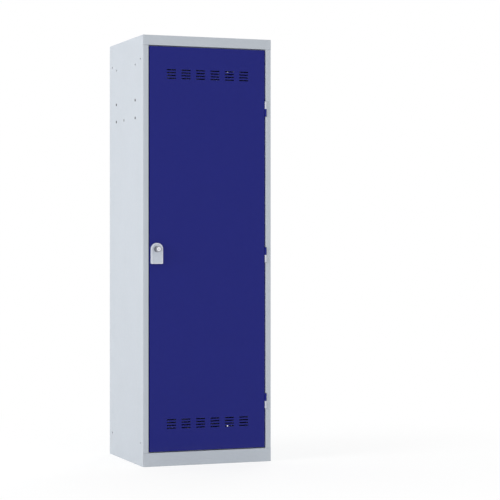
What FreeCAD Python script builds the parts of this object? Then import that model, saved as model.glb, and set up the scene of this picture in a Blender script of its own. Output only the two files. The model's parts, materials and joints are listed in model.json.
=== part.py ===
import FreeCAD, Part
import math
import os

Vec = FreeCAD.Vector

# A free-standing sheet steel locker with one inset door.
# Sizes are in millimetres. X runs to the right, Y to the back, Z up.
# The origin is on the floor, in the middle of the cabinet's footprint.

# Cabinet
HEIGHT = 1800.0
WIDTH = 570.0
DEPTH = 500.0
SHEET = 0.8  # thickness of the cabinet's steel
BEND = 1.2  # inner radius of a fold
SEAM = 0.3  # gap where the edges of two sheets meet
STILE = 24.0  # visible width of an upright of the door frame
TOP_RAIL = 42.0  # visible height of the rail over the door
PLINTH = 57.0  # visible height of the rail under the door
REBATE = 20.0  # from the front plane back to the door stop
STOP_LIP = 12.0  # how far the door stop reaches into the opening
REAR_RETURN = 32.0  # fold of each side wall across the back
ROOF_FLANGE = 25.0
BASE_RETURN = 15.0  # width of the fold that stands on the floor

# Holes in the side walls and in the back
JOIN_HOLE_R = 4.0  # for bolting lockers side by side
JOIN_HOLE_FRONT = 38.0  # from the front plane
JOIN_HOLE_REAR = 43.5  # from the back plane
JOIN_HOLE_LOW = 97.0  # above the floor
JOIN_HOLE_TOP = 97.0  # below the top
BACK_HOLE_R = 3.0  # for fixing the locker to a wall
BACK_HOLE_EDGE = 16.0  # from the outer face of the side walls
BACK_HOLE_LOW = 101.0
BACK_HOLE_TOP = 96.0
SPARE_HOLE_R = 4.25  # a higher place for the shelf
COLUMN_FRONT = 113.0  # fixing columns on the side walls, from the front plane
COLUMN_REAR = 105.0  # and from the back plane
SPARE_ROW = 115.0  # fixing rows, below the top
SHELF_ROW = 265.0
RAIL_ROW = 340.0

# Shelf and hanging rail
SHELF_SETBACK = 45.0  # behind the front plane
SHELF_REAR_GAP = 2.0
SHELF_FLANGE = 25.0
SHELF_HEM = 10.0
RAIL_AHEAD = 115.0  # from the rear column forward to the rail
RAIL_R = 12.5
RAIL_WALL = 1.5
BRACKET_HEIGHT = 25.0
BRACKET_THICK = 1.5
SOCKET_WALL = 2.5
SOCKET_DEPTH = 14.0
SOCKET_CLEAR = 0.2

# Rivets
RIVET_R = 3.2
RIVET_CLEAR = 0.1
RIVET_HEAD_R = 5.8
RIVET_HEAD = 1.1
RIVET_TAIL_R = 4.2
RIVET_TAIL = 1.2
RIVET_BORE_R = 2.2  # the rivets of shelf and brackets are hollow

# Hinges
LEAF = 1.5  # thickness of a hinge leaf
LEAF_GAP = 1.0  # between the two leaves of a closed hinge
LEAF_DEPTH = 13.0  # how far a leaf reaches behind the front plane
KNUCKLE_R = 4.0
KNUCKLE_LENGTH = 31.5
KNUCKLE_GAP = 0.4
KNUCKLE_NOTCH = 0.7  # air round a knuckle in the folds beside it
HINGE_PROUD = 1.0  # pin axis in front of the front plane
HINGE_SHIFT = 2.4  # pin axis from the middle of the gap towards the frame
HINGE_LOW = 197.5  # lowest hinge above the door's lower edge
HINGE_HIGH = 250.0  # highest hinge below the door's upper edge
PIN_R = 2.0
PIN_CLEAR = 0.05
PIN_HEAD_R = 3.0
PIN_HEAD = 1.2
PIN_SHORT = 2.0  # pin end short of the door knuckle's end

# Door
DOOR_SHEET = 1.0
DOOR_LIP = 15.0  # fold round the back of the door
LIP_SLIT = 0.6  # mitre gap between the folds at each corner
BUFFER_THICK = 2.7
BUFFER_GAP = 0.3  # between a buffer and the closed door
BUFFER_R = 4.5
BUFFER_STEM_R = 2.0
BUFFER_BULB_R = 2.8
BUFFER_BULB = 2.5
BUFFER_INSET = 240.0  # from the lower and upper edges of the opening
STIFFENER_SHEET = 0.8
STIFFENER_CROWN = 38.0
STIFFENER_FOOT = 13.0
STIFFENER_RISE = 13.0
STIFFENER_INSET = 20.0  # end of the stiffener from the nearest vent
VENT_GROUPS = 6
VENT_GROUP_PITCH = 64.5
VENT_ROWS = 4
VENT_ROW_PITCH = 11.8
VENT_LENGTH = 41.0
VENT_HEIGHT = 5.0
VENT_CORNER = 1.6  # bevel at the corners of a vent
VENT_INSET = 114.5  # middle of a vent field from the door's edge

# Handle with its turning knob
HANDLE_INSET = 4.0  # from the door's free edge
HANDLE_WIDTH = 51.0
HANDLE_DROP = 62.0  # from the knob's axis to the lower edge
HANDLE_PROUD = 14.5
HANDLE_RIM = 4.5
HANDLE_FIELD_DROP = 1.5  # field below the rim
HANDLE_PLATE = 2.5  # thickness behind the field
HANDLE_WALL = 2.5
HANDLE_CORNER = 3.0
HANDLE_EDGE = 2.0  # rounding of the rim's outer edge
HANDLE_BOSS_WALL = 4.0  # metal round the lock bush
SCREW_R = 2.0
SCREW_HEAD_R = 3.8
SCREW_HEAD = 2.4
SCREW_DEPTH = 8.0
SCREW_BOSS_R = 4.5
SCREW_SPREAD = 19.0  # each side of the knob's axis
SCREW_DROP = 22.0  # below the knob's axis
HOLE_CLEAR = 0.1  # air round screws and the lock bush

# Lock
BUSH_R = 9.0
BUSH_FLAT = 8.0  # from the axis to the flats that stop the bush turning
BUSH_FLANGE_R = 14.0
BUSH_FLANGE = 1.2
NUT_ACROSS = 24.0
NUT_THICK = 5.0
KNOB_R = 12.2
KNOB_LENGTH = 21.5
KNOB_GAP = 0.4  # between the knob and the bush's flange
KNOB_EDGE = 1.6
KNOB_WAIST = 0.8  # depth of the grip groove round the knob
SPINDLE_R = 5.0
SPINDLE_CLEAR = 0.05
TAIL_SIDE = 7.0  # square end of the spindle
TAIL_CLEAR = 0.05
PLUG_R = 7.0
PLUG_LENGTH = 12.0
PLUG_CLEAR = 0.05
PLUG_SUNK = 0.5
PLUG_END_GAP = 0.3  # behind the plug
KEYWAY_WIDTH = 7.5
KEYWAY_HEIGHT = 2.4
KEYWAY_DEPTH = 9.0
CAM_CLEAR = 1.2  # behind the door stop
CAM_THICK = 2.5
CAM_HUB_R = 9.0
CAM_WIDTH = 15.0
CAM_LENGTH = 36.0
CAM_CORNER = 4.0
CAM_SCREW_R = 2.2
CAM_SCREW_HEAD_R = 4.4
CAM_SCREW_HEAD = 3.0
CAM_SCREW_DEPTH = 9.0
CAM_WASHER_R = 6.5
CAM_WASHER = 1.0

# Screw recesses
RECESS_WIDTH = 1.2
RECESS_DEPTH = 1.2

# Length by which a cutter runs past the metal
PAST = 2.0

# Planes that the sizes above lead to
SIDE = WIDTH / 2
FRONT = -DEPTH / 2
BACK = DEPTH / 2
WALL_IN = SIDE - SHEET
BACK_OUT = BACK - SHEET
BACK_IN = BACK_OUT - SHEET
TRAY_BACK = BACK_IN - BEND  # rear flanges stay clear of the fold behind them
STOP = FRONT + REBATE
OPEN_X = SIDE - STILE
STOP_X = OPEN_X - STOP_LIP
OPEN_LOW = PLINTH
OPEN_HIGH = HEIGHT - TOP_RAIL
FLOOR = PLINTH + STOP_LIP
BEND_OUT = BEND + SHEET

SHELF_Z = HEIGHT - SHELF_ROW
RAIL_Z = HEIGHT - RAIL_ROW
SHELF_TOP = SHELF_Z + SHELF_FLANGE / 2
COLUMNS = (FRONT + COLUMN_FRONT, BACK - COLUMN_REAR)
RAIL_Y = COLUMNS[1] - RAIL_AHEAD
BRACKET_IN = WALL_IN - BRACKET_THICK
SOCKET_R = RAIL_R + SOCKET_CLEAR

DOOR_GAP = 2 * LEAF + LEAF_GAP
DOOR_X = OPEN_X - DOOR_GAP
DOOR_LOW = OPEN_LOW + DOOR_GAP
DOOR_HIGH = OPEN_HIGH - DOOR_GAP
DOOR_BACK = STOP - BUFFER_THICK - BUFFER_GAP
DOOR_IN = FRONT + DOOR_SHEET
DOOR_BEND_OUT = BEND + DOOR_SHEET

HINGE_X = OPEN_X - DOOR_GAP / 2 + HINGE_SHIFT
HINGE_Y = FRONT - HINGE_PROUD
HINGE_BOTTOM = DOOR_LOW + HINGE_LOW
HINGE_TOP = DOOR_HIGH - HINGE_HIGH
HINGE_MIDDLE = (HINGE_BOTTOM + HINGE_TOP) / 2
NOTCH_R = KNUCKLE_R + KNUCKLE_NOTCH
HINGE_HALF = KNUCKLE_LENGTH + KNUCKLE_GAP / 2

LOCK_X = -DOOR_X + HANDLE_INSET + HANDLE_WIDTH / 2
LOCK_Z = (DOOR_LOW + DOOR_HIGH) / 2
HANDLE_HALF = HANDLE_WIDTH / 2
RIM_Y = FRONT - HANDLE_PROUD
FIELD_Y = RIM_Y + HANDLE_FIELD_DROP
FLANGE_Y = FIELD_Y - BUSH_FLANGE
KNOB_BACK = FLANGE_Y - KNOB_GAP
KNOB_FRONT = KNOB_BACK - KNOB_LENGTH
CAM_Y = STOP + SHEET + CAM_CLEAR
CAM_BACK = CAM_Y + CAM_THICK
BUSH_BACK = CAM_Y - KNOB_GAP
VENT_FIELDS = (DOOR_LOW + VENT_INSET, DOOR_HIGH - VENT_INSET)
VENT_HALF = (VENT_ROWS - 1) * VENT_ROW_PITCH / 2 + VENT_HEIGHT / 2


# Plain solids


def box(x0, x1, y0, y1, z0, z1):
    return Part.makeBox(x1 - x0, y1 - y0, z1 - z0, Vec(x0, y0, z0))


def rod(start, end, radius):
    along = end - start
    return Part.makeCylinder(radius, along.Length, start, along)


def join(shapes):
    whole = shapes[0].fuse(shapes[1:])
    return whole.removeSplitter()


def mirrored(shape):
    return shape.mirror(Vec(0, 0, 0), Vec(1, 0, 0))


# Outlines are drawn in two directions and put in space by one of these


def in_plan(z):
    return lambda p: Vec(p.x, p.y, z)


def in_section(x):
    return lambda p: Vec(x, p.x, p.y)


def in_front_view(y):
    return lambda p: Vec(p.x, y, p.y)


def round_corner(corner, before, after, radius):
    """Start, middle and end of the arc that rounds a corner."""
    if radius == 0:
        return corner, None, corner
    to_before = (before - corner).normalize()
    to_after = (after - corner).normalize()
    half = to_before.getAngle(to_after) / 2
    reach = radius / math.tan(half)
    inward = (to_before + to_after).normalize()
    middle = corner + inward * (radius / math.sin(half) - radius)
    return corner + to_before * reach, middle, corner + to_after * reach


def outline(corners, radii, place):
    """A flat face whose corners are rounded, each by its own radius."""
    count = len(corners)
    arcs = []
    for i in range(count):
        after = corners[(i + 1) % count]
        arcs.append(round_corner(corners[i], corners[i - 1], after, radii[i]))
    edges = []
    for i in range(count):
        start, middle, end = [None if p is None else place(p) for p in arcs[i]]
        following = place(arcs[(i + 1) % count][0])
        if middle is not None:
            edges.append(Part.Arc(start, middle, end).toShape())
        edges.append(Part.LineSegment(end, following).toShape())
    return Part.Face(Part.Wire(edges))


def left_of(step):
    return Vec(-step.y, step.x, 0).normalize()


def fold(path, thickness, place):
    """Section of a folded sheet. The path is one face of it, with the sheet on the path's left."""
    points = [Vec(u, v, 0) for u, v in path]
    last = len(points) - 1
    other = []
    radii = []
    other_radii = []
    for i, point in enumerate(points):
        if i in (0, last):
            step = points[min(i + 1, last)] - points[max(i - 1, 0)]
            other.append(point + left_of(step) * thickness)
            radii.append(0)
            other_radii.append(0)
            continue
        before = points[i] - points[i - 1]
        after = points[i + 1] - points[i]
        normals = (left_of(before), left_of(after))
        spread = 1 + normals[0].dot(normals[1])
        other.append(point + (normals[0] + normals[1]) * (thickness / spread))
        turns_left = before.cross(after).z > 0
        radii.append(BEND + thickness if turns_left else BEND)
        other_radii.append(BEND if turns_left else BEND + thickness)
    return outline(points + other[::-1], radii + other_radii[::-1], place)


def turned(profile, at, direction):
    """A turned piece. The profile gives radius and height, and height runs along the direction."""
    corners = [Vec(r, h, 0) for r, h in profile]
    face = outline(corners, [0] * len(corners), in_front_view(0))
    solid = face.revolve(Vec(0, 0, 0), Vec(0, 0, 1), 360)
    solid.Placement = FreeCAD.Placement(at, FreeCAD.Rotation(Vec(0, 0, 1), direction))
    return solid


# Cabinet


def join_holes():
    heights = (JOIN_HOLE_LOW, HEIGHT - JOIN_HOLE_TOP)
    depths = (FRONT + JOIN_HOLE_FRONT, BACK - JOIN_HOLE_REAR)
    return [(y, z, JOIN_HOLE_R) for y in depths for z in heights]


def column_holes():
    spare = [(y, HEIGHT - SPARE_ROW, SPARE_HOLE_R) for y in COLUMNS]
    shelf = [(y, SHELF_Z, RIVET_R + RIVET_CLEAR) for y in COLUMNS]
    bracket = [(y, RAIL_Z, RIVET_R + RIVET_CLEAR) for y in COLUMNS + (RAIL_Y,)]
    return spare + shelf + bracket


def back_holes():
    """Cutters for the holes through the back, on both sides."""
    cutters = []
    for x in (BACK_HOLE_EDGE - SIDE, SIDE - BACK_HOLE_EDGE):
        for z in (BACK_HOLE_LOW, HEIGHT - BACK_HOLE_TOP):
            cutters.append(rod(Vec(x, BACK_IN - PAST, z), Vec(x, BACK + PAST, z), BACK_HOLE_R))
    return cutters


def side_wall():
    """Left wall: its front edge is folded into the door frame between the two rails."""
    path = [
        (REAR_RETURN - SIDE, BACK),
        (-SIDE, BACK),
        (-SIDE, FRONT),
        (-OPEN_X, FRONT),
        (-OPEN_X, STOP),
        (-STOP_X, STOP),
    ]
    wall_path = path[:3]
    stile_low = OPEN_LOW + SEAM
    stile_high = OPEN_HIGH - SEAM
    spans = [
        (0, stile_low, wall_path),
        (stile_low, stile_high, path),
        (stile_high, HEIGHT, wall_path),
    ]
    pieces = []
    for low, high, span_path in spans:
        section = fold(span_path, SHEET, in_plan(low))
        pieces.append(section.extrude(Vec(0, 0, high - low)))
    cutters = back_holes()
    for y, z, radius in join_holes() + column_holes():
        cutters.append(rod(Vec(-SIDE - PAST, y, z), Vec(-WALL_IN + PAST, y, z), radius))
    return join(pieces).cut(cutters)


def left_side_panel():
    cutters = []
    for z in (OPEN_LOW + BUFFER_INSET, OPEN_HIGH - BUFFER_INSET):
        at = Vec(buffer_x(), STOP - PAST, z)
        cutters.append(rod(at, at + Vec(0, 2 * PAST + SHEET, 0), BUFFER_STEM_R + HOLE_CLEAR))
    return side_wall().cut(cutters)


def right_side_panel():
    return mirrored(side_wall()).cut(hinge_notches())


def rail_ends(path, inner_x, outer_x):
    """The same section drawn at both ends of a rail, outside its middle stretch."""
    section = fold(path, SHEET, in_section(inner_x))
    end = section.extrude(Vec(outer_x - inner_x, 0, 0))
    return [end, mirrored(end)]


def top_panel():
    """Roof with a deep front apron that turns back and down into the upper door stop."""
    path = [
        (TRAY_BACK, HEIGHT - ROOF_FLANGE),
        (TRAY_BACK, HEIGHT),
        (FRONT, HEIGHT),
        (FRONT, OPEN_HIGH),
        (STOP, OPEN_HIGH),
        (STOP, OPEN_HIGH - STOP_LIP),
    ]
    middle_x = STOP_X - SEAM
    middle = fold(path, SHEET, in_section(-middle_x)).extrude(Vec(2 * middle_x, 0, 0))
    flange = box(
        WALL_IN - SHEET, WALL_IN,
        FRONT + BEND_OUT, TRAY_BACK - BEND_OUT,
        HEIGHT - ROOF_FLANGE, HEIGHT - SHEET,
    )
    return join([middle, flange, mirrored(flange)] + rail_ends(path[:-1], middle_x, WALL_IN))


def floor_panel():
    """Raised floor that steps down to the plinth, with a fold all round that stands on the ground."""
    path = [
        (TRAY_BACK - BASE_RETURN, 0),
        (TRAY_BACK, 0),
        (TRAY_BACK, FLOOR),
        (STOP, FLOOR),
        (STOP, PLINTH),
        (FRONT, PLINTH),
        (FRONT, 0),
        (FRONT + BASE_RETURN, 0),
    ]
    middle_x = STOP_X - SEAM
    middle = fold(path, SHEET, in_section(-middle_x)).extrude(Vec(2 * middle_x, 0, 0))
    behind_stop = STOP + SHEET + SEAM
    floor_ends = rail_ends(path[:3] + [(behind_stop, FLOOR)], middle_x, WALL_IN)
    plinth_ends = rail_ends(path[4:], middle_x, WALL_IN)
    flange_path = [(-WALL_IN, FLOOR - SHEET), (-WALL_IN, 0), (BASE_RETURN - WALL_IN, 0)]
    flange_front = FRONT + BEND_OUT
    flange_length = TRAY_BACK - BEND_OUT - flange_front
    flange = fold(flange_path, SHEET, in_front_view(flange_front)).extrude(Vec(0, flange_length, 0))
    over_plinth = box(
        -WALL_IN - PAST, -STOP_X, FRONT, behind_stop, PLINTH - SHEET, FLOOR + PAST
    )
    flange = flange.cut(over_plinth)
    return join([middle, flange, mirrored(flange)] + floor_ends + plinth_ends)


def back_panel():
    half = WALL_IN - BEND
    return box(-half, half, BACK_IN, BACK_OUT, 0, HEIGHT).cut(back_holes())


# Shelf and hanging rail


def hat_shelf():
    front = FRONT + SHELF_SETBACK
    rear = TRAY_BACK - SHELF_REAR_GAP
    low = SHELF_TOP - SHELF_FLANGE
    path = [
        (rear, low),
        (rear, SHELF_TOP),
        (front, SHELF_TOP),
        (front, low),
        (front + SHELF_HEM, low),
    ]
    tray = fold(path, SHEET, in_section(-WALL_IN)).extrude(Vec(2 * WALL_IN, 0, 0))
    flange = box(
        -WALL_IN, SHEET - WALL_IN, front + BEND_OUT, rear - BEND_OUT, low, SHELF_TOP - SHEET
    )
    cutters = []
    for y in COLUMNS:
        at = Vec(-SIDE - PAST, y, SHELF_Z)
        cutters.append(rod(at, at + Vec(WIDTH + 2 * PAST, 0, 0), RIVET_R + RIVET_CLEAR))
    return join([tray, flange, mirrored(flange)]).cut(cutters)


def rail_bracket():
    """Left bracket: a round-ended strap with a cup for the rail."""
    end = BRACKET_HEIGHT / 2
    front, rear = COLUMNS
    low = Vec(front, RAIL_Z - end, 0)
    high = Vec(rear, RAIL_Z + end, 0)
    place = in_section(-WALL_IN)
    lower = Part.LineSegment(place(Vec(low.x, low.y, 0)), place(Vec(high.x, low.y, 0)))
    upper = Part.LineSegment(place(Vec(high.x, high.y, 0)), place(Vec(low.x, high.y, 0)))
    rear_end = Part.Arc(lower.EndPoint, place(Vec(rear + end, RAIL_Z, 0)), upper.StartPoint)
    front_end = Part.Arc(upper.EndPoint, place(Vec(front - end, RAIL_Z, 0)), lower.StartPoint)
    wire = Part.Wire([curve.toShape() for curve in (lower, rear_end, upper, front_end)])
    strap = Part.Face(wire).extrude(Vec(BRACKET_THICK, 0, 0))
    cup_start = Vec(-BRACKET_IN, RAIL_Y, RAIL_Z)
    cup_end = cup_start + Vec(SOCKET_DEPTH, 0, 0)
    cup = rod(cup_start, cup_end, SOCKET_R + SOCKET_WALL)
    bracket = join([strap, cup]).cut(rod(cup_start, cup_end + Vec(PAST, 0, 0), SOCKET_R))
    cutters = []
    for y in COLUMNS + (RAIL_Y,):
        at = Vec(-WALL_IN - PAST, y, RAIL_Z)
        cutters.append(rod(at, at + Vec(BRACKET_THICK + 2 * PAST, 0, 0), RIVET_R + RIVET_CLEAR))
    return bracket.cut(cutters)


def hanging_rail():
    """Tube that ends short of the rivet tails in its two cups."""
    end = BRACKET_IN - RIVET_TAIL - SEAM
    tube = rod(Vec(-end, RAIL_Y, RAIL_Z), Vec(end, RAIL_Y, RAIL_Z), RAIL_R)
    past = end + PAST
    bore = rod(Vec(-past, RAIL_Y, RAIL_Z), Vec(past, RAIL_Y, RAIL_Z), RAIL_R - RAIL_WALL)
    return tube.cut(bore)


def rivet(grip, bore, at, outward):
    """Rivet with a low bevelled head, through sheets of the given total thickness."""
    bevel = RIVET_HEAD / 2
    profile = [
        (bore, RIVET_HEAD),
        (RIVET_HEAD_R - bevel, RIVET_HEAD),
        (RIVET_HEAD_R, 0),
        (RIVET_R, 0),
        (RIVET_R, -grip),
        (RIVET_TAIL_R, -grip),
        (RIVET_TAIL_R, -grip - RIVET_TAIL),
        (bore, -grip - RIVET_TAIL),
    ]
    return turned(profile, at, outward)


def rivets(places, height, grip, bore):
    """One rivet through each side wall at every place along the depth."""
    group = []
    for y in places:
        group.append(rivet(grip, bore, Vec(-SIDE, y, height), Vec(-1, 0, 0)))
        group.append(rivet(grip, bore, Vec(SIDE, y, height), Vec(1, 0, 0)))
    return Part.makeCompound(group)


# Hinges


def knuckle_span(joint, above):
    near = KNUCKLE_GAP / 2
    if above:
        return joint + near, joint + HINGE_HALF
    return joint - HINGE_HALF, joint - near


def hinge_post(low, high, radius):
    return rod(Vec(HINGE_X, HINGE_Y, low), Vec(HINGE_X, HINGE_Y, high), radius)


def hinge_notches():
    """Cutters that clear the knuckles out of the folds on both sides of the gap."""
    reach = HINGE_HALF + PIN_HEAD + KNUCKLE_GAP
    heights = (HINGE_BOTTOM, HINGE_MIDDLE, HINGE_TOP)
    return [hinge_post(z - reach, z + reach, NOTCH_R) for z in heights]


def hinge_leaf(joint, x0, x1, own_above, bore):
    """A leaf in the gap, rolled into a knuckle over one half of its height."""
    leaf = box(x0, x1, HINGE_Y, FRONT + LEAF_DEPTH, joint - HINGE_HALF, joint + HINGE_HALF)
    other_low, other_high = knuckle_span(joint, not own_above)
    leaf = leaf.cut(hinge_post(other_low - KNUCKLE_GAP, other_high + KNUCKLE_GAP, NOTCH_R))
    low, high = knuckle_span(joint, own_above)
    knuckle = hinge_post(low, high, KNUCKLE_R)
    return join([leaf, knuckle]).cut(hinge_post(low - PAST, high + PAST, bore))


def hinge_frame_leaf(joint, frame_above):
    return hinge_leaf(joint, OPEN_X - LEAF, OPEN_X, frame_above, PIN_R)


def hinge_door_leaf(joint, frame_above):
    return hinge_leaf(joint, DOOR_X, DOOR_X + LEAF, not frame_above, PIN_R + PIN_CLEAR)


def hinge_pin(joint, frame_above):
    """Pin with its head on the frame knuckle's outer end."""
    length = 2 * HINGE_HALF - PIN_SHORT
    bevel = PIN_HEAD / 2
    profile = [
        (0, PIN_HEAD),
        (PIN_HEAD_R - bevel, PIN_HEAD),
        (PIN_HEAD_R, PIN_HEAD - bevel),
        (PIN_HEAD_R, 0),
        (PIN_R, 0),
        (PIN_R, -length),
        (0, -length),
    ]
    up = 1 if frame_above else -1
    return turned(profile, Vec(HINGE_X, HINGE_Y, joint + up * HINGE_HALF), Vec(0, 0, up))


# Door


def rounded_box(inset, radius):
    """The door's block, shrunk on every side and rounded on every edge."""
    block = box(
        -DOOR_X + inset, DOOR_X - inset,
        FRONT + inset, DOOR_BACK - inset,
        DOOR_LOW + inset, DOOR_HIGH - inset,
    )
    return block.makeFillet(radius, block.Edges)


def vent_slot(x, z):
    """A long hole with bevelled corners."""
    half = VENT_LENGTH / 2
    rise = VENT_HEIGHT / 2
    corners = []
    for across, up in ((-1, -1), (1, -1), (1, 1), (-1, 1)):
        beside = Vec(x + across * (half - VENT_CORNER), z + up * rise)
        above = Vec(x + across * half, z + up * (rise - VENT_CORNER))
        corners += [beside, above] if across == -up else [above, beside]
    face = outline(corners, [0] * len(corners), in_front_view(FRONT - PAST))
    return face.extrude(Vec(0, DOOR_SHEET + 2 * PAST, 0))


def vent_slots():
    slots = []
    for field in VENT_FIELDS:
        for row in range(VENT_ROWS):
            z = field + (row - (VENT_ROWS - 1) / 2) * VENT_ROW_PITCH
            for group in range(VENT_GROUPS):
                x = (group - (VENT_GROUPS - 1) / 2) * VENT_GROUP_PITCH
                slots.append(vent_slot(x, z))
    return slots


def lip_slits():
    """Mitre gaps from the corners of the window out to the door's bends."""
    reach = (DOOR_LIP - DOOR_BEND_OUT) * math.sqrt(2)
    low = DOOR_BACK - DOOR_SHEET - PAST
    slits = []
    for turn, x, z in (
        (-45, DOOR_X - DOOR_LIP, DOOR_HIGH - DOOR_LIP),
        (45, DOOR_X - DOOR_LIP, DOOR_LOW + DOOR_LIP),
        (135, DOOR_LIP - DOOR_X, DOOR_LOW + DOOR_LIP),
        (-135, DOOR_LIP - DOOR_X, DOOR_HIGH - DOOR_LIP),
    ):
        slit = box(-LIP_SLIT, reach, low, DOOR_BACK + PAST, -LIP_SLIT / 2, LIP_SLIT / 2)
        slit.Placement = FreeCAD.Placement(Vec(x, 0, z), FreeCAD.Rotation(Vec(0, 1, 0), turn))
        slits.append(slit)
    return slits


def door_panel():
    """Door tray with a fold round its back, vents, the lock's holes and notches for the hinges."""
    tray = rounded_box(0, DOOR_BEND_OUT).cut(rounded_box(DOOR_SHEET, BEND))
    window = box(
        -DOOR_X + DOOR_LIP, DOOR_X - DOOR_LIP,
        DOOR_BACK - DOOR_SHEET - PAST, DOOR_BACK + PAST,
        DOOR_LOW + DOOR_LIP, DOOR_HIGH - DOOR_LIP,
    )
    lock_hole = bush_bar(BUSH_R + HOLE_CLEAR, BUSH_FLAT + HOLE_CLEAR, FRONT - PAST, DOOR_IN + PAST)
    cutters = [window, lock_hole] + lip_slits() + hinge_notches() + vent_slots()
    for at in handle_screw_places(FRONT - PAST):
        cutters.append(rod(at, at + Vec(0, 2 * PAST + DOOR_SHEET, 0), SCREW_R + HOLE_CLEAR))
    return tray.cut(cutters)


def door_stiffener():
    """Hat-shaped rib up the middle of the door, between the two fields of vents."""
    crown = STIFFENER_CROWN / 2
    foot = crown + STIFFENER_FOOT
    top = DOOR_IN + STIFFENER_RISE
    path = [
        (-foot, DOOR_IN),
        (-crown, DOOR_IN),
        (-crown, top),
        (crown, top),
        (crown, DOOR_IN),
        (foot, DOOR_IN),
    ]
    low = VENT_FIELDS[0] + VENT_HALF + STIFFENER_INSET
    high = VENT_FIELDS[1] - VENT_HALF - STIFFENER_INSET
    return fold(path, STIFFENER_SHEET, in_plan(low)).extrude(Vec(0, 0, high - low))


def buffer_x():
    return -(OPEN_X + STOP_X) / 2


def door_buffers():
    """Rubber buttons pushed into the door stop on the lock side."""
    back = SHEET + BUFFER_BULB
    bevel = BUFFER_THICK / 3
    profile = [
        (0, BUFFER_THICK),
        (BUFFER_R - bevel, BUFFER_THICK),
        (BUFFER_R, BUFFER_THICK - bevel),
        (BUFFER_R, 0),
        (BUFFER_STEM_R, 0),
        (BUFFER_STEM_R, -SHEET),
        (BUFFER_BULB_R, -SHEET),
        (BUFFER_STEM_R, -back),
        (0, -back),
    ]
    heights = (OPEN_LOW + BUFFER_INSET, OPEN_HIGH - BUFFER_INSET)
    return Part.makeCompound([turned(profile, Vec(buffer_x(), STOP, z), Vec(0, -1, 0)) for z in heights])


# Handle


def arch(half, low, corner, y):
    """Face with a half-round top on the knob's axis and two rounded lower corners."""
    def at(x, z):
        return Vec(LOCK_X + x, y, LOCK_Z + z)

    bite = corner * (1 - math.sqrt(0.5))
    inner = half - corner
    curves = [
        Part.Arc(at(-half, 0), at(0, half), at(half, 0)),
        Part.LineSegment(at(half, 0), at(half, low + corner)),
        Part.Arc(at(half, low + corner), at(half - bite, low + bite), at(inner, low)),
        Part.LineSegment(at(inner, low), at(-inner, low)),
        Part.Arc(at(-inner, low), at(bite - half, low + bite), at(-half, low + corner)),
        Part.LineSegment(at(-half, low + corner), at(-half, 0)),
    ]
    return Part.Face(Part.Wire([curve.toShape() for curve in curves]))


def handle_screw_places(y):
    z = LOCK_Z - SCREW_DROP
    return [Vec(LOCK_X - SCREW_SPREAD, y, z), Vec(LOCK_X + SCREW_SPREAD, y, z)]


def lock_rod(front, back, radius):
    return rod(Vec(LOCK_X, front, LOCK_Z), Vec(LOCK_X, back, LOCK_Z), radius)


def bush_bar(radius, flat, front, back):
    """Round bar on the knob's axis with two flats."""
    bar = lock_rod(front, back, radius)
    slab = box(LOCK_X - flat, LOCK_X + flat, front, back, LOCK_Z - radius, LOCK_Z + radius)
    return bar.common(slab)


def lock_handle():
    """Cast pull, open below so that the fingers reach behind its rim."""
    body = arch(HANDLE_HALF, -HANDLE_DROP, HANDLE_CORNER, FRONT).extrude(Vec(0, RIM_Y - FRONT, 0))
    front_edges = [e for e in body.Edges if e.BoundBox.YMax < RIM_Y + HANDLE_EDGE]
    body = body.makeFillet(HANDLE_EDGE, front_edges)
    field = arch(HANDLE_HALF - HANDLE_RIM, HANDLE_RIM - HANDLE_DROP, HANDLE_CORNER, RIM_Y - PAST)
    field = field.extrude(Vec(0, PAST + HANDLE_FIELD_DROP, 0))
    plate_back = FIELD_Y + HANDLE_PLATE
    hollow = arch(HANDLE_HALF - HANDLE_WALL, -HANDLE_DROP - PAST, HANDLE_WALL / 2, plate_back)
    hollow = hollow.extrude(Vec(0, FRONT + PAST - plate_back, 0))
    bosses = []
    bosses.append(lock_rod(plate_back, FRONT, BUSH_R + HANDLE_BOSS_WALL))
    for at in handle_screw_places(FRONT):
        bosses.append(rod(Vec(at.x, plate_back, at.z), at, SCREW_BOSS_R))
    shell = join([body.cut([field, hollow])] + bosses)
    cutters = [bush_bar(BUSH_R + HOLE_CLEAR, BUSH_FLAT + HOLE_CLEAR, RIM_Y - PAST, FRONT + PAST)]
    for at in handle_screw_places(FRONT):
        cutters.append(rod(at - Vec(0, SCREW_DEPTH - DOOR_SHEET, 0), at + Vec(0, PAST, 0), SCREW_R))
    return shell.cut(cutters)


def screw(radius, depth, head_r, head, at, outward):
    """Pan head screw with a slotted head. Its seat is at the given point."""
    bevel = head / 2
    profile = [
        (0, head),
        (head_r - bevel, head),
        (head_r, head - bevel),
        (head_r, 0),
        (radius, 0),
        (radius, -depth),
        (0, -depth),
    ]
    top = at + outward * head
    half = RECESS_WIDTH / 2
    slot = box(
        top.x - head_r, top.x + head_r,
        top.y - RECESS_DEPTH, top.y + PAST,
        top.z - half, top.z + half,
    )
    return turned(profile, at, outward).cut(slot)


def handle_screws():
    screws = []
    for at in handle_screw_places(DOOR_IN):
        screws.append(screw(SCREW_R, SCREW_DEPTH, SCREW_HEAD_R, SCREW_HEAD, at, Vec(0, 1, 0)))
    return Part.makeCompound(screws)


# Lock


def lock_bush():
    """Flanged bush through handle and door."""
    flange = lock_rod(FLANGE_Y, FIELD_Y, BUSH_FLANGE_R)
    bar = bush_bar(BUSH_R, BUSH_FLAT, FIELD_Y, BUSH_BACK)
    bore = lock_rod(FLANGE_Y - PAST, BUSH_BACK + PAST, SPINDLE_R + SPINDLE_CLEAR)
    return join([flange, bar]).cut(bore)


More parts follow.
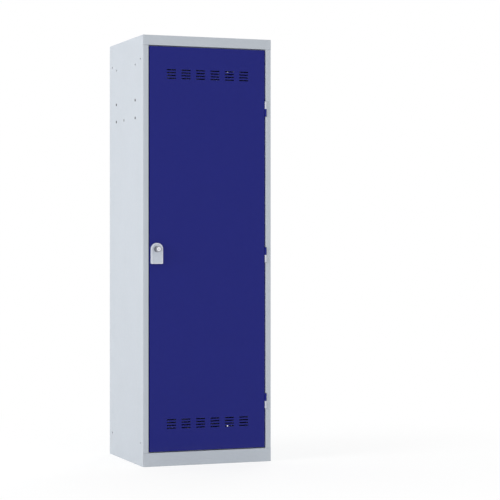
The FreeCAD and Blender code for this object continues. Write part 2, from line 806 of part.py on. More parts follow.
def lock_nut():
    """Hexagon nut on the bush, against the inside of the door."""
    radius = NUT_ACROSS / math.sqrt(3)
    corners = []
    for i in range(6):
        angle = i * math.pi / 3
        corners.append(Vec(LOCK_X + radius * math.cos(angle), LOCK_Z + radius * math.sin(angle), 0))
    nut = outline(corners, [0] * 6, in_front_view(DOOR_IN)).extrude(Vec(0, NUT_THICK, 0))
    return nut.cut(lock_rod(DOOR_IN - PAST, DOOR_IN + NUT_THICK + PAST, BUSH_R))


def lock_knob():
    """Turning knob with its spindle: heights in the profile run forward from the front plane."""
    front = FRONT - KNOB_FRONT
    back = FRONT - KNOB_BACK
    tail = FRONT - CAM_Y
    plug_r = PLUG_R + PLUG_CLEAR
    waist_r = KNOB_R - KNOB_WAIST
    groove_low = back + KNOB_EDGE
    groove_high = (back + front) / 2
    profile = [
        (0, front - PLUG_LENGTH),
        (plug_r, front - PLUG_LENGTH),
        (plug_r, front),
        (KNOB_R - KNOB_EDGE, front),
        (KNOB_R - KNOB_EDGE / 3, front - KNOB_EDGE / 3),
        (KNOB_R, front - KNOB_EDGE),
        (KNOB_R, groove_high),
        (waist_r, groove_high - KNOB_WAIST),
        (waist_r, groove_low),
        (KNOB_R, groove_low),
        (KNOB_R, back),
        (SPINDLE_R, back),
        (SPINDLE_R, tail),
        (0, tail),
    ]
    knob = turned(profile, Vec(LOCK_X, FRONT, LOCK_Z), Vec(0, -1, 0))
    half = TAIL_SIDE / 2
    square = box(LOCK_X - half, LOCK_X + half, CAM_Y, CAM_BACK, LOCK_Z - half, LOCK_Z + half)
    return join([knob, square]).cut(lock_rod(CAM_BACK - CAM_SCREW_DEPTH, CAM_BACK + PAST, CAM_SCREW_R))


def lock_plug():
    """Key plug in the knob's face, with a flat keyway."""
    face = KNOB_FRONT + PLUG_SUNK
    back = KNOB_FRONT + PLUG_LENGTH - PLUG_END_GAP
    half = KEYWAY_WIDTH / 2
    rise = KEYWAY_HEIGHT / 2
    keyway = box(
        LOCK_X - half, LOCK_X + half,
        face - PAST, face + KEYWAY_DEPTH,
        LOCK_Z - rise, LOCK_Z + rise,
    )
    return lock_rod(face, back, PLUG_R).cut(keyway)


def lock_cam():
    """Tongue that hangs down while the lock is open and turns behind the door stop to close it."""
    half = CAM_WIDTH / 2
    low = LOCK_Z - CAM_LENGTH
    corners = [
        Vec(LOCK_X - half, LOCK_Z, 0),
        Vec(LOCK_X - half, low, 0),
        Vec(LOCK_X + half, low, 0),
        Vec(LOCK_X + half, LOCK_Z, 0),
    ]
    face = outline(corners, [0, CAM_CORNER, CAM_CORNER, 0], in_front_view(CAM_Y))
    tongue = face.extrude(Vec(0, CAM_THICK, 0))
    hub = lock_rod(CAM_Y, CAM_BACK, CAM_HUB_R)
    side = TAIL_SIDE / 2 + TAIL_CLEAR
    hole = box(
        LOCK_X - side, LOCK_X + side,
        CAM_Y - PAST, CAM_BACK + PAST,
        LOCK_Z - side, LOCK_Z + side,
    )
    return join([tongue, hub]).cut(hole)


def cam_washer():
    washer = lock_rod(CAM_BACK, CAM_BACK + CAM_WASHER, CAM_WASHER_R)
    return washer.cut(lock_rod(CAM_BACK - PAST, CAM_BACK + CAM_WASHER + PAST, CAM_SCREW_R))


def cam_screw():
    seat = Vec(LOCK_X, CAM_BACK + CAM_WASHER, LOCK_Z)
    depth = CAM_SCREW_DEPTH + CAM_WASHER
    return screw(CAM_SCREW_R, depth, CAM_SCREW_HEAD_R, CAM_SCREW_HEAD, seat, Vec(0, 1, 0))


def all_pieces():
    left_bracket = rail_bracket()
    pieces = {
        "left_side_panel": left_side_panel(),
        "right_side_panel": right_side_panel(),
        "back_panel": back_panel(),
        "top_panel": top_panel(),
        "floor_panel": floor_panel(),
        "hat_shelf": hat_shelf(),
        "shelf_rivets": rivets(COLUMNS, SHELF_Z, 2 * SHEET, RIVET_BORE_R),
        "left_rail_bracket": left_bracket,
        "right_rail_bracket": mirrored(left_bracket),
        "bracket_rivets": rivets(COLUMNS, RAIL_Z, SHEET + BRACKET_THICK, RIVET_BORE_R),
        "socket_rivets": rivets([RAIL_Y], RAIL_Z, SHEET + BRACKET_THICK, 0),
        "hanging_rail": hanging_rail(),
        "door_panel": door_panel(),
        "door_stiffener": door_stiffener(),
        "door_buffers": door_buffers(),
        "lock_handle": lock_handle(),
        "handle_screws": handle_screws(),
        "lock_bush": lock_bush(),
        "lock_nut": lock_nut(),
        "lock_knob": lock_knob(),
        "lock_plug": lock_plug(),
        "lock_cam": lock_cam(),
        "cam_washer": cam_washer(),
        "cam_screw": cam_screw(),
    }
    # The top hinge has its frame knuckle above, so the door can't be lifted off.
    hinges = {
        "top": (HINGE_TOP, True),
        "middle": (HINGE_MIDDLE, False),
        "bottom": (HINGE_BOTTOM, False),
    }
    for name, (joint, frame_above) in hinges.items():
        pieces[name + "_hinge_frame_leaf"] = hinge_frame_leaf(joint, frame_above)
        pieces[name + "_hinge_door_leaf"] = hinge_door_leaf(joint, frame_above)
        pieces[name + "_hinge_pin"] = hinge_pin(joint, frame_above)
    return pieces


os.makedirs("parts", exist_ok=True)
for name, shape in all_pieces().items():
    shape.exportStep("parts/" + name + ".step")
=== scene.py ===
import json
import math

import bpy
from bpy.props import FloatProperty, FloatVectorProperty, PointerProperty
from bpy.types import Operator, Panel, PropertyGroup
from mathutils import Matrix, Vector

bl_info = {
    "name": "Steel locker",
    "version": (1, 0, 0),
    "blender": (4, 5, 0),
    "location": "3D View > Sidebar > Locker",
    "description": "Paint, metals and studio for a sheet steel clothes locker",
    "category": "Object",
}

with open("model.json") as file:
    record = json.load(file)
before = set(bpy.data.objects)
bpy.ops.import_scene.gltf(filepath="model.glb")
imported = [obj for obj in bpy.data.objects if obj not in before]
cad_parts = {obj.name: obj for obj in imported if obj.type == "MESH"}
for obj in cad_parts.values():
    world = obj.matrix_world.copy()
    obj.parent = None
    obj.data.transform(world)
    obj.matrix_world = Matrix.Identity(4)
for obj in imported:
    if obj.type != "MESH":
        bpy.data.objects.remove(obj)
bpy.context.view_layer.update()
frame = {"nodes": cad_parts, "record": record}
JOINTS = frame["record"]["behaviour"]["joints"]
LOCK_AXIS = next(joint["pos_m"] for joint in JOINTS if joint["name"] == "knob_turn")

CABINET = ("left_side_panel", "right_side_panel", "back_panel", "top_panel", "floor_panel")
SHELF_AND_BRACKETS = ("hat_shelf", "left_rail_bracket", "right_rail_bracket")
DOOR = ("door_panel", "door_stiffener")
HINGES = ("top_hinge", "middle_hinge", "bottom_hinge")
RIVETS = ("shelf_rivets", "bracket_rivets")
RAIL_RIVETS = ("socket_rivets",)
LOCK_FIXINGS = ("handle_screws", "lock_nut", "lock_cam", "cam_washer", "cam_screw")

# What shows where the powder coat is rubbed thin, and the greyer, darker tint given to it near the floor
BARE_STEEL = (0.55, 0.56, 0.57)
FOOT_GREY = (0.42, 0.40, 0.36)
FOOT_GREY_HEIGHT = 0.10
CABINET_GLOSS = 0.30
DOOR_GLOSS = 0.20

# Depths behind the pull's foremost plane between which the painted highlight on the rim fades out
RIM_FADES = 0.0005
RIM_ENDS = 0.0012

# Distances from the lock's axis between which the painted shade on the knob's flank fades in over the edge
# of its face
FLANK_SHADE_STARTS = 0.0085
FLANK_SHADE_FULL = 0.0112

# Depths behind the key plug's face between which shade is painted inside the key slot, and its share of the
# knob flank's painted shade
SLOT_STARTS = 0.0002
SLOT_FULL = 0.0008
SLOT_SHADE = 0.06

RING_PITCH = 0.0005
CRYSTAL_WIDTH = 0.0016

# The floor sheet lies just under the foot, so that no two faces share a plane
FLOOR_DROP = 0.0004
FLOOR_WHITE = 0.98
# Distances from the middle of the locker between which its shadow on the sheet fades out
SHADOW_FADES = 0.9
SHADOW_ENDS = 2.0

LAMP_WIDTH = 3.0
LAMP_AIM = (0.0, 0.0, 0.9)
KEY_PLACE = (-6.0, -1.4, 2.6)
FILL_PLACE = (1.5, -6.5, 1.1)
REAR_PLACE = (3.6, 5.4, 2.8)
SENSOR_WIDTH = 36.0

# Places of the colour sockets on a Mix node, which has others of the same names
MIX_SHARE = 0
MIX_FIRST = 6
MIX_SECOND = 7
MIX_RESULT = 2
# Radians that a wave texture of scale 1 turns through in a metre
WAVE_TURN = 20.0


def colour_property(name, description, default):
    return FloatVectorProperty(
        name=name, description=description, default=default, subtype="COLOR", size=3, min=0.0, max=1.0
    )


def length_property(name, description, default):
    return FloatProperty(
        name=name, description=description, default=default, min=0.0, unit="LENGTH", precision=5
    )


def share_property(name, description, default):
    return FloatProperty(
        name=name, description=description, default=default, min=0.0, max=1.0, subtype="FACTOR"
    )


def power_property(name, description, default):
    return FloatProperty(name=name, description=description, default=default, min=0.0, unit="POWER")


class LockerPaint(PropertyGroup):
    """Powder coat of the cabinet and the door."""

    cabinet: colour_property("Cabinet", "Coat of the cabinet, shelf and brackets", (0.580, 0.625, 0.680))
    # Painted highlight: the frame's hinge leaves get the cabinet's coat made paler, standing in for the
    # light their knuckles catch
    leaf: colour_property("Frame leaves", "Paler coat of the frame's hinge leaves", (0.69, 0.705, 0.77))
    door: colour_property("Door", "Coat of the door and its hinge leaves", (0.0115, 0.0158, 0.200))
    peel: length_property("Peel", "Width of the fine ripples in the coat", 0.0012)
    ripple: length_property("Ripple", "Width of the slow waves in the sheet", 0.17)
    rub: share_property("Edge rub", "How far the coat is rubbed thin on its edges", 0.22)
    # Greyer, darker specks on the coat close to the floor
    foot_grey: share_property("Foot dust", "Dust on the coat close to the floor", 0.05)


class LockerMetal(PropertyGroup):
    """Bare and plated pieces, and the rubber."""

    casting: colour_property("Pull", "Silver lacquer on the cast pull", (0.605, 0.65, 0.73))
    # Painted highlight on the pull's rim, standing in for the light that the rim catches
    rim: colour_property("Pull rim", "Lacquer rubbed bright on the pull's rim", (0.78, 0.79, 0.86))
    polish: colour_property("Lock", "Polished plating of the knob and its bush", (0.60, 0.61, 0.66))
    # Painted highlight: the key plug is coloured brighter than the knob to stand in for the highlights on
    # the lock's face
    plug: colour_property("Key plug", "Brighter plating of the key plug", (0.84, 0.85, 0.90))
    # Painted shade on the knob's flank; the key slot's painted shade is a small share of it
    flank_shade: colour_property("Grip", "Dull plating on the flank of the knob", (0.20, 0.205, 0.235))
    zinc: colour_property("Zinc", "Plating of pins, screws and cam", (0.50, 0.51, 0.52))
    rivet: colour_property("Rivets", "Dark plating of shelf and bracket rivets", (0.075, 0.075, 0.085))
    worn: colour_property("Rail rivets", "Paler, worn plating of the rail's rivets", (0.36, 0.37, 0.39))
    tube: colour_property("Rail", "Bright plating of the hanging rail", (0.62, 0.63, 0.64))
    rubber: colour_property("Rubber", "Door buffers", (0.022, 0.022, 0.024))


class LockerStage(PropertyGroup):
    """Floor, light and camera."""

    floor_width: length_property("Floor", "Width of the floor sheet", 40.0)
    floor_light: share_property("Floor light", "Light on the open floor beside the locker", 0.80)
    shadow: share_property("Shadow", "Depth of the locker's shadow on the floor", 0.30)
    ambient: share_property("Ambient", "Even light from all round", 0.56)
    key_power: power_property("Key", "Soft lamp at the left", 166.0)
    fill_power: power_property("Fill", "Soft lamp in front", 46.0)
    rear_power: power_property("Rear", "Soft lamp behind", 110.0)
    turn: FloatProperty(
        name="Turn",
        description="How far the camera stands round to the left",
        default=0.360502,
        subtype="ANGLE",
    )
    distance: length_property("Distance", "Camera from the middle of the cabinet, on plan", 7.59337)
    height: length_property("Height", "Camera above the floor", 0.9504)
    aside: length_property("Aside", "How far the camera's line passes beside the middle", 0.26601)
    lens: FloatProperty(name="Lens", description="Focal length in millimetres", default=125.68, min=1.0)
    rise: FloatProperty(
        name="Rise", description="Vertical shift of the picture", default=-0.02257, precision=5
    )


class Finish:
    """The node tree of one finish, with short ways to add to it."""

    def __init__(self, name):
        self.material = bpy.data.materials.new(name)
        self.material.use_nodes = True
        self.tree = self.material.node_tree
        self.shader = self.tree.nodes["Principled BSDF"]
        self.place = self.add("ShaderNodeTexCoord").outputs["Object"]

    def add(self, kind, **settings):
        node = self.tree.nodes.new(kind)
        for name, value in settings.items():
            setattr(node, name, value)
        return node

    def feed(self, socket, value):
        """Sets a socket to a constant, or joins it to another node's output."""
        if isinstance(value, bpy.types.NodeSocket):
            self.tree.links.new(value, socket)
        else:
            socket.default_value = value

    def surface(self, **sockets):
        """Feeds sockets of the shader, whose names have _ here in place of a space."""
        for name, value in sockets.items():
            self.feed(self.shader.inputs[name.replace("_", " ")], value)

    def moved(self, shift=(0, 0, 0), stretch=(1, 1, 1)):
        """The piece's own coordinates, shifted and then stretched."""
        shifted = self.add("ShaderNodeVectorMath", operation="ADD")
        self.feed(shifted.inputs[0], self.place)
        self.feed(shifted.inputs[1], shift)
        scaled = self.add("ShaderNodeVectorMath", operation="MULTIPLY")
        self.feed(scaled.inputs[0], shifted.outputs[0])
        self.feed(scaled.inputs[1], stretch)
        return scaled.outputs[0]

    def noise(self, width, detail, place=None):
        """Cloudy noise whose blotches are about as wide as given, in metres."""
        node = self.add("ShaderNodeTexNoise")
        self.feed(node.inputs["Vector"], place or self.place)
        self.feed(node.inputs["Scale"], 1.0 / width)
        self.feed(node.inputs["Detail"], detail)
        return node.outputs["Fac"]

    def spread(self, value, low, high, start=0.3, end=0.7):
        """Takes a value from the span start to end, which noise mostly fills, to the span low to high."""
        node = self.add("ShaderNodeMapRange")
        for socket, number in zip(node.inputs, (value, start, end, low, high)):
            self.feed(socket, number)
        return node.outputs["Result"]

    def product(self, first, second):
        node = self.add("ShaderNodeMath", operation="MULTIPLY")
        self.feed(node.inputs[0], first)
        self.feed(node.inputs[1], second)
        return node.outputs[0]

    def blend(self, share, first, second):
        """The first colour at share 0, and the second at share 1."""
        node = self.add("ShaderNodeMix", data_type="RGBA")
        self.feed(node.inputs[MIX_SHARE], share)
        self.feed(node.inputs[MIX_FIRST], first)
        self.feed(node.inputs[MIX_SECOND], second)
        return node.outputs[MIX_RESULT]

    def bump(self, height, depth, under=None):
        """Relief of the given depth in metres, on top of another one if there is one under it."""
        node = self.add("ShaderNodeBump")
        self.feed(node.inputs["Height"], height)
        self.feed(node.inputs["Distance"], depth)
        if under is not None:
            self.feed(node.inputs["Normal"], under)
        return node.outputs["Normal"]

    def edges(self, width):
        """Near 1 on sharp edges and folds, and 0 on flat sheet."""
        rounded = self.add("ShaderNodeBevel", samples=4)
        self.feed(rounded.inputs["Radius"], width)
        flat = self.add("ShaderNodeNewGeometry")
        likeness = self.add("ShaderNodeVectorMath", operation="DOT_PRODUCT")
        self.feed(likeness.inputs[0], rounded.outputs["Normal"])
        self.feed(likeness.inputs[1], flat.outputs["Normal"])
        return self.spread(likeness.outputs["Value"], low=1.0, high=0.0, start=0.80, end=0.995)

    def along(self, axis):
        """Place along one axis: X to the right, Y to the back, Z above the floor."""
        node = self.add("ShaderNodeSeparateXYZ")
        self.feed(node.inputs[0], self.place)
        return node.outputs[axis]

    def distance(self, place):
        """Distance of a place from the origin of its coordinates."""
        node = self.add("ShaderNodeVectorMath", operation="LENGTH")
        self.feed(node.inputs[0], place)
        return node.outputs["Value"]

    def matt(self, level):
        """Matt grey shader of the given level, from 0 for black to 1 for white."""
        node = self.add("ShaderNodeBsdfDiffuse")
        self.feed(node.inputs["Color"], (level, level, level, 1.0))
        return node.outputs[0]

    def glow(self, strength):
        """White shader that shows at the given strength whatever the light."""
        node = self.add("ShaderNodeEmission")
        self.feed(node.inputs["Strength"], strength)
        return node.outputs[0]

    def both(self, first, second):
        """Sum of two shaders."""
        node = self.add("ShaderNodeAddShader")
        self.feed(node.inputs[0], first)
        self.feed(node.inputs[1], second)
        return node.outputs[0]

    def either(self, share, first, second):
        """The first shader at share 0, and the second at share 1."""
        node = self.add("ShaderNodeMixShader")
        for socket, value in zip(node.inputs, (share, first, second)):
            self.feed(socket, value)
        return node.outputs[0]


def shade(colour, factor=1.0):
    """A colour made darker or paler, with its alpha."""
    return (*(min(c * factor, 1.0) for c in colour), 1.0)


def toward(colour, other, share):
    """A colour taken part of the way to another, with its alpha."""
    return (*(c + (o - c) * share for c, o in zip(colour, other)), 1.0)


def front_of(name):
    """The foremost plane of a piece."""
    return min(corner[1] for corner in frame["nodes"][name].bound_box)


def powder_coat(name, colour, gloss, settings):
    """Baked powder coat on sheet steel: fine peel, slow ripple, rubbed edges, and greyer, darker specks
    towards the foot.
    """
    coat = Finish(name)
    cloud = coat.spread(coat.noise(width=0.11, detail=4.0), low=0.0, high=1.0)
    tone = coat.blend(cloud, shade(colour, 0.988), shade(colour, 1.012))
    rub = coat.spread(coat.noise(width=0.006, detail=3.0), low=0.0, high=settings.rub, start=0.42, end=0.62)
    rubbed = coat.product(coat.edges(width=0.0012), rub)
    tone = coat.blend(rubbed, tone, toward(colour, BARE_STEEL, share=0.75))
    # Greyer and darker towards the floor
    foot = coat.spread(coat.along("Z"), low=settings.foot_grey, high=0.0, start=0.0, end=FOOT_GREY_HEIGHT)
    specks = coat.spread(coat.noise(width=0.02, detail=4.0), low=0.2, high=1.0)
    tone = coat.blend(coat.product(foot, specks), tone, toward(colour, FOOT_GREY, share=0.6))
    waves = coat.bump(coat.noise(settings.ripple, detail=1.0), depth=0.0007)
    coat.surface(
        Base_Color=tone,
        Roughness=coat.spread(coat.noise(width=0.018, detail=3.0), low=0.40, high=0.52),
        Specular_IOR_Level=gloss,
        Normal=coat.bump(coat.noise(settings.peel, detail=1.0), depth=0.00003, under=waves),
    )
    return coat.material


def lacquered_casting(name, colour, rim_highlight_colour):
    """Silver lacquer on a casting, with a fine skin and a painted highlight on its foremost rim."""
    cast = Finish(name)
    cloud = cast.spread(cast.noise(width=0.012, detail=4.0), low=0.0, high=1.0)
    tone = cast.blend(cloud, shade(colour, 0.96), shade(colour, 1.03))
    # Painted highlight: the rim colour is blended in over the foremost plane of the pull
    rim = front_of("lock_handle")
    rim_highlight_mask = cast.spread(cast.along("Y"), low=1.0, high=0.0, start=rim + RIM_FADES, end=rim + RIM_ENDS)
    patches = cast.spread(cast.noise(width=0.004, detail=3.0), low=0.7, high=1.0)
    tone = cast.blend(cast.product(rim_highlight_mask, patches), tone, shade(rim_highlight_colour))
    cast.surface(
        Base_Color=tone,
        Metallic=0.15,
        Roughness=cast.spread(cast.noise(width=0.003, detail=3.0), low=0.30, high=0.42),
        Normal=cast.bump(cast.noise(width=0.0007, detail=2.0), depth=0.00002),
    )
    return cast.material


def knob_flank_shade(polish):
    """Where shade is painted on the knob: 1 on its flank, less on the edge of its face and 0 further in."""
    from_axis = polish.distance(polish.moved(shift=[-c for c in LOCK_AXIS], stretch=(1, 0, 1)))
    return polish.spread(from_axis, low=0.0, high=1.0, start=FLANK_SHADE_STARTS, end=FLANK_SHADE_FULL)


def key_slot_shade(polish):
    """Painted shade inside the key slot: 0 on the plug's face and 1 a little way in."""
    face = front_of("lock_plug")
    depth = polish.along("Y")
    return polish.spread(depth, low=0.0, high=1.0, start=face + SLOT_STARTS, end=face + SLOT_FULL)


def turned_metal(name, colour, shade_colour=None, dull=None):
    """Polished plating with faint rings from turning, and painted shade in the shade colour where the dull
    function says so.
    """
    polish = Finish(name)
    rings = polish.add("ShaderNodeTexWave", wave_type="RINGS", rings_direction="Y")
    polish.feed(rings.inputs["Vector"], polish.moved(shift=[-c for c in LOCK_AXIS]))
    polish.feed(rings.inputs["Scale"], 2.0 * math.pi / (WAVE_TURN * RING_PITCH))
    polish.feed(rings.inputs["Distortion"], 0.4)
    cloud = polish.spread(polish.noise(width=0.004, detail=3.0), low=0.0, high=1.0)
    tone = polish.blend(cloud, shade(colour, 0.94), shade(colour, 1.04))
    # Painted shade: the tone is taken over to the shade colour where the mask says so
    if dull is not None:
        patches = polish.spread(polish.noise(width=0.003, detail=3.0), low=0.8, high=1.0)
        tone = polish.blend(polish.product(dull(polish), patches), tone, shade(shade_colour))
    polish.surface(
        Base_Color=tone,
        Metallic=1.0,
        Roughness=polish.spread(polish.noise(width=0.002, detail=3.0), low=0.12, high=0.22),
        Normal=polish.bump(rings.outputs["Fac"], depth=0.000004),
    )
    return polish.material


def zinc_plate(name, colour):
    """Zinc plating with its small dull crystals."""
    zinc = Finish(name)
    cells = zinc.add("ShaderNodeTexVoronoi")
    zinc.feed(cells.inputs["Vector"], zinc.place)
    zinc.feed(cells.inputs["Scale"], 1.0 / CRYSTAL_WIDTH)
    crystals = zinc.spread(cells.outputs["Distance"], low=0.0, high=1.0, start=0.0, end=0.8)
    zinc.surface(
        Base_Color=zinc.blend(crystals, shade(colour, 1.06), shade(colour, 0.86)),
        Metallic=1.0,
        Roughness=zinc.spread(zinc.noise(width=0.002, detail=3.0), low=0.34, high=0.50),
        Normal=zinc.bump(cells.outputs["Distance"], depth=0.00002),
    )
    return zinc.material


def drawn_tube(name, colour):
    """Bright plated tube, with faint lines along its length and rub marks from hangers."""
    tube = Finish(name)
    lines = tube.noise(width=0.0008, detail=3.0, place=tube.moved(stretch=(0.02, 1, 1)))
    marks = tube.noise(width=0.004, detail=3.0, place=tube.moved(stretch=(1, 0.2, 0.2)))
    rubbed = tube.spread(marks, low=0.0, high=1.0, start=0.45, end=0.7)
    tube.surface(
        Base_Color=tube.blend(rubbed, shade(colour), shade(colour, 0.84)),
        Metallic=1.0,
        Roughness=tube.spread(lines, low=0.14, high=0.30),
        Normal=tube.bump(lines, depth=0.00001),
    )
    return tube.material


def moulded_rubber(name, colour):
    """Matt rubber with a bloom on its skin."""
    rubber = Finish(name)
    skin = rubber.noise(width=0.003, detail=4.0)
    bloom = rubber.spread(skin, low=0.0, high=1.0)
    rubber.surface(
        Base_Color=rubber.blend(bloom, shade(colour, 0.8), shade(colour, 1.9)),
        Roughness=rubber.spread(skin, low=0.65, high=0.85),
        Specular_IOR_Level=0.3,
        Normal=rubber.bump(rubber.noise(width=0.0006, detail=2.0), depth=0.00003),
    )
    return rubber.material


def dress(names, material):
    """Gives every one of these pieces the finish."""
    for name in names:
        for slot in frame["nodes"][name].material_slots:
            slot.material = material


def hinge_pieces(ending):
    """The same piece of all three hinges."""
    return [hinge + ending for hinge in HINGES]


class LOCKER_OT_coat_cabinet(Operator):
    """Grey powder coat on cabinet, shelf and brackets, and a paler copy of it on the frame's hinge leaves
    as a painted highlight
    """

    bl_idname = "locker.coat_cabinet"
    bl_label = "Coat cabinet"

    def execute(self, context):
        paint = context.scene.locker_paint
        grey = powder_coat("cabinet_coat", paint.cabinet, CABINET_GLOSS, paint)
        dress(CABINET + SHELF_AND_BRACKETS, grey)
        # Painted highlight on the frame's hinge leaves
        leaf_highlight = powder_coat("leaf_highlight_coat", paint.leaf, CABINET_GLOSS, paint)
        dress(hinge_pieces("_frame_leaf"), leaf_highlight)
        return {"FINISHED"}


class LOCKER_OT_coat_door(Operator):
    """Blue powder coat on the door, its stiffener and its hinge leaves"""

    bl_idname = "locker.coat_door"
    bl_label = "Coat door"

    def execute(self, context):
        paint = context.scene.locker_paint
        blue = powder_coat("door_coat", paint.door, DOOR_GLOSS, paint)
        dress(DOOR, blue)
        dress(hinge_pieces("_door_leaf"), blue)
        return {"FINISHED"}


class LOCKER_OT_finish_fixings(Operator):
    """Dark or worn plating on the rivets, and zinc on hinge pins, screws and the back of the lock"""

    bl_idname = "locker.finish_fixings"
    bl_label = "Plate fixings"

    def execute(self, context):
        metal = context.scene.locker_metal
        zinc = zinc_plate("zinc_plate", metal.zinc)
        dress(RIVETS, zinc_plate("dark_plate", metal.rivet))
        dress(RAIL_RIVETS, zinc_plate("worn_plate", metal.worn))
        dress(LOCK_FIXINGS, zinc)
        dress(hinge_pieces("_pin"), zinc)
        return {"FINISHED"}


class LOCKER_OT_finish_rail(Operator):
    """Bright plating on the hanging rail"""

    bl_idname = "locker.finish_rail"
    bl_label = "Plate rail"

    def execute(self, context):
        dress(("hanging_rail",), drawn_tube("bright_tube", context.scene.locker_metal.tube))
        return {"FINISHED"}


class LOCKER_OT_finish_pull(Operator):
    """Silver lacquer on the cast pull, with a painted highlight on its rim"""

    bl_idname = "locker.finish_pull"
    bl_label = "Finish pull"

    def execute(self, context):
        metal = context.scene.locker_metal
        dress(("lock_handle",), lacquered_casting("satin_casting", metal.casting, metal.rim))
        return {"FINISHED"}


class LOCKER_OT_finish_lock(Operator):
    """Polished plating on the knob, its bush and the key plug, with painted shade on the knob's flank and
    in the key slot, and a painted highlight on the plug
    """

    bl_idname = "locker.finish_lock"
    bl_label = "Polish lock"

    def execute(self, context):
        metal = context.scene.locker_metal
        # Painted shade on the knob's flank and inside the key slot
        slot_shade_colour = [c * SLOT_SHADE for c in metal.flank_shade]
        dress(("lock_bush",), turned_metal("polished_bush", metal.polish))
        dress(("lock_knob",), turned_metal("polished_knob", metal.polish, metal.flank_shade, knob_flank_shade))
        # Painted highlight on the key plug
        dress(("lock_plug",), turned_metal("polished_plug", metal.plug, slot_shade_colour, key_slot_shade))
        return {"FINISHED"}


class LOCKER_OT_finish_buffers(Operator):
    """Rubber of the two door buffers"""

    bl_idname = "locker.finish_buffers"
    bl_label = "Finish buffers"

    def execute(self, context):
        dress(("door_buffers",), moulded_rubber("black_rubber", context.scene.locker_metal.rubber))
        return {"FINISHED"}


def seen_directly(tree):
    """1 for rays that show the background: from the camera, or off metal and through glass."""
    path = tree.nodes.new("ShaderNodeLightPath")
    seen = path.outputs["Is Camera Ray"]
    for name in ("Is Glossy Ray", "Is Transmission Ray"):
        most = tree.nodes.new("ShaderNodeMath")
        most.operation = "MAXIMUM"
        tree.links.new(seen, most.inputs[0])
        tree.links.new(path.outputs[name], most.inputs[1])
        seen = most.outputs[0]
    return seen


def white_surround(scene, ambient):
    """White where it is seen, and a plain even light elsewhere."""
    world = bpy.data.worlds.new("studio_surround")
    world.use_nodes = True
    tree = world.node_tree
    strength = tree.nodes.new("ShaderNodeMapRange")
    strength.inputs["To Min"].default_value = ambient
    tree.links.new(seen_directly(tree), strength.inputs["Value"])
    background = tree.nodes["Background"]
    background.inputs["Color"].default_value = (1.0, 1.0, 1.0, 1.0)
    tree.links.new(strength.outputs["Result"], background.inputs["Strength"])
    scene.world = world


def floor_paper(stage):
    """White wherever it is seen, apart from the locker's soft shadow near its foot."""
    paper = Finish("floor_paper")
    paper.tree.nodes.remove(paper.shader)
    near = paper.spread(paper.distance(paper.place), low=1.0, high=0.0, start=SHADOW_FADES, end=SHADOW_ENDS)
    open_glow = paper.glow(1.0 - stage.shadow * stage.floor_light)
    shaded = paper.both(paper.matt(stage.shadow), open_glow)
    seen = paper.either(near, paper.glow(1.0), shaded)
    shown = paper.either(seen_directly(paper.tree), paper.matt(FLOOR_WHITE), seen)
    paper.feed(paper.tree.nodes["Material Output"].inputs["Surface"], shown)
    return paper.material


def lay_floor(scene, stage):
    """Large level sheet under the locker."""
    half = stage.floor_width / 2
    corners = [(x, y, -FLOOR_DROP) for x, y in ((-half, -half), (half, -half), (half, half), (-half, half))]
    mesh = bpy.data.meshes.new("floor_sheet")
    mesh.from_pydata(corners, [], [(0, 1, 2, 3)])
    mesh.materials.append(floor_paper(stage))
    floor = bpy.data.objects.new("floor_sheet", mesh)
    scene.collection.objects.link(floor)


def soft_lamp(scene, name, place, power):
    """Square lamp that faces the middle of the locker."""
    lamp = bpy.data.lights.new(name, "AREA")
    lamp.shape = "SQUARE"
    lamp.size = LAMP_WIDTH
    lamp.energy = power
    holder = bpy.data.objects.new(name, lamp)
    holder.location = place
    holder.rotation_euler = (Vector(LAMP_AIM) - Vector(place)).to_track_quat("-Z", "Y").to_euler()
    holder.visible_camera = False
    holder.visible_glossy = False
    scene.collection.objects.link(holder)


def photo_camera(scene, stage):
    """Level camera that stands to the left of the front, as in the photograph."""
    view = bpy.data.cameras.new("photo_camera")
    view.sensor_width = SENSOR_WIDTH
    view.lens = stage.lens
    view.shift_y = stage.rise
    camera = bpy.data.objects.new("photo_camera", view)
    sine = math.sin(stage.turn)
    cosine = math.cos(stage.turn)
    camera.location = (
        -stage.distance * sine + stage.aside * cosine,
        -stage.distance * cosine - stage.aside * sine,
        stage.height,
    )
    camera.rotation_euler = (math.pi / 2, 0.0, -stage.turn)
    scene.collection.objects.link(camera)
    scene.camera = camera


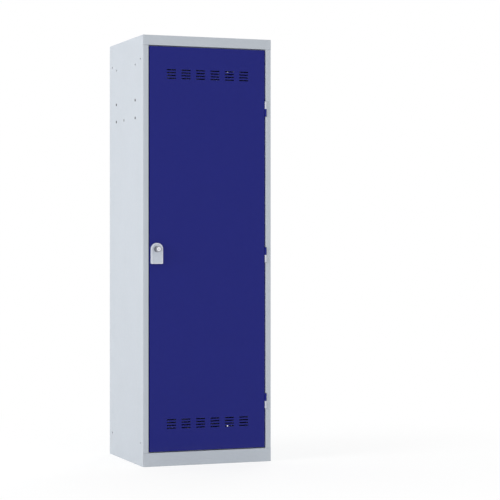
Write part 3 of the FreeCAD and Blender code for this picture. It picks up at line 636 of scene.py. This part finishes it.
class LOCKER_OT_set_stage(Operator):
    """Floor, white surround, soft lamps and the camera"""

    bl_idname = "locker.set_stage"
    bl_label = "Set stage"

    def execute(self, context):
        scene = context.scene
        stage = scene.locker_stage
        scene.view_settings.view_transform = "Standard"
        white_surround(scene, stage.ambient)
        lay_floor(scene, stage)
        soft_lamp(scene, "key_lamp", KEY_PLACE, stage.key_power)
        soft_lamp(scene, "fill_lamp", FILL_PLACE, stage.fill_power)
        soft_lamp(scene, "rear_lamp", REAR_PLACE, stage.rear_power)
        photo_camera(scene, stage)
        return {"FINISHED"}


class LOCKER_PT_panel(Panel):
    """Lists the finishes and the stage"""

    bl_label = "Locker"
    bl_idname = "LOCKER_PT_panel"
    bl_space_type = "VIEW_3D"
    bl_region_type = "UI"
    bl_category = "Locker"

    def draw(self, context):
        scene = context.scene
        for settings in (scene.locker_paint, scene.locker_metal, scene.locker_stage):
            box = self.layout.box()
            for name in settings.__annotations__:
                box.prop(settings, name)
        for operator in OPERATORS:
            self.layout.operator(operator.bl_idname)


OPERATORS = (
    LOCKER_OT_coat_cabinet,
    LOCKER_OT_coat_door,
    LOCKER_OT_finish_fixings,
    LOCKER_OT_finish_rail,
    LOCKER_OT_finish_pull,
    LOCKER_OT_finish_lock,
    LOCKER_OT_finish_buffers,
    LOCKER_OT_set_stage,
)
CLASSES = (LockerPaint, LockerMetal, LockerStage) + OPERATORS + (LOCKER_PT_panel,)


def register():
    for cls in CLASSES:
        bpy.utils.register_class(cls)
    bpy.types.Scene.locker_paint = PointerProperty(type=LockerPaint)
    bpy.types.Scene.locker_metal = PointerProperty(type=LockerMetal)
    bpy.types.Scene.locker_stage = PointerProperty(type=LockerStage)


def unregister():
    del bpy.types.Scene.locker_stage
    del bpy.types.Scene.locker_metal
    del bpy.types.Scene.locker_paint
    for cls in reversed(CLASSES):
        bpy.utils.unregister_class(cls)


def main():
    register()
    bpy.ops.locker.coat_cabinet()
    bpy.ops.locker.coat_door()
    bpy.ops.locker.finish_fixings()
    bpy.ops.locker.finish_rail()
    bpy.ops.locker.finish_pull()
    bpy.ops.locker.finish_lock()
    bpy.ops.locker.finish_buffers()
    bpy.ops.locker.set_stage()


if __name__ == "__main__":
    main()
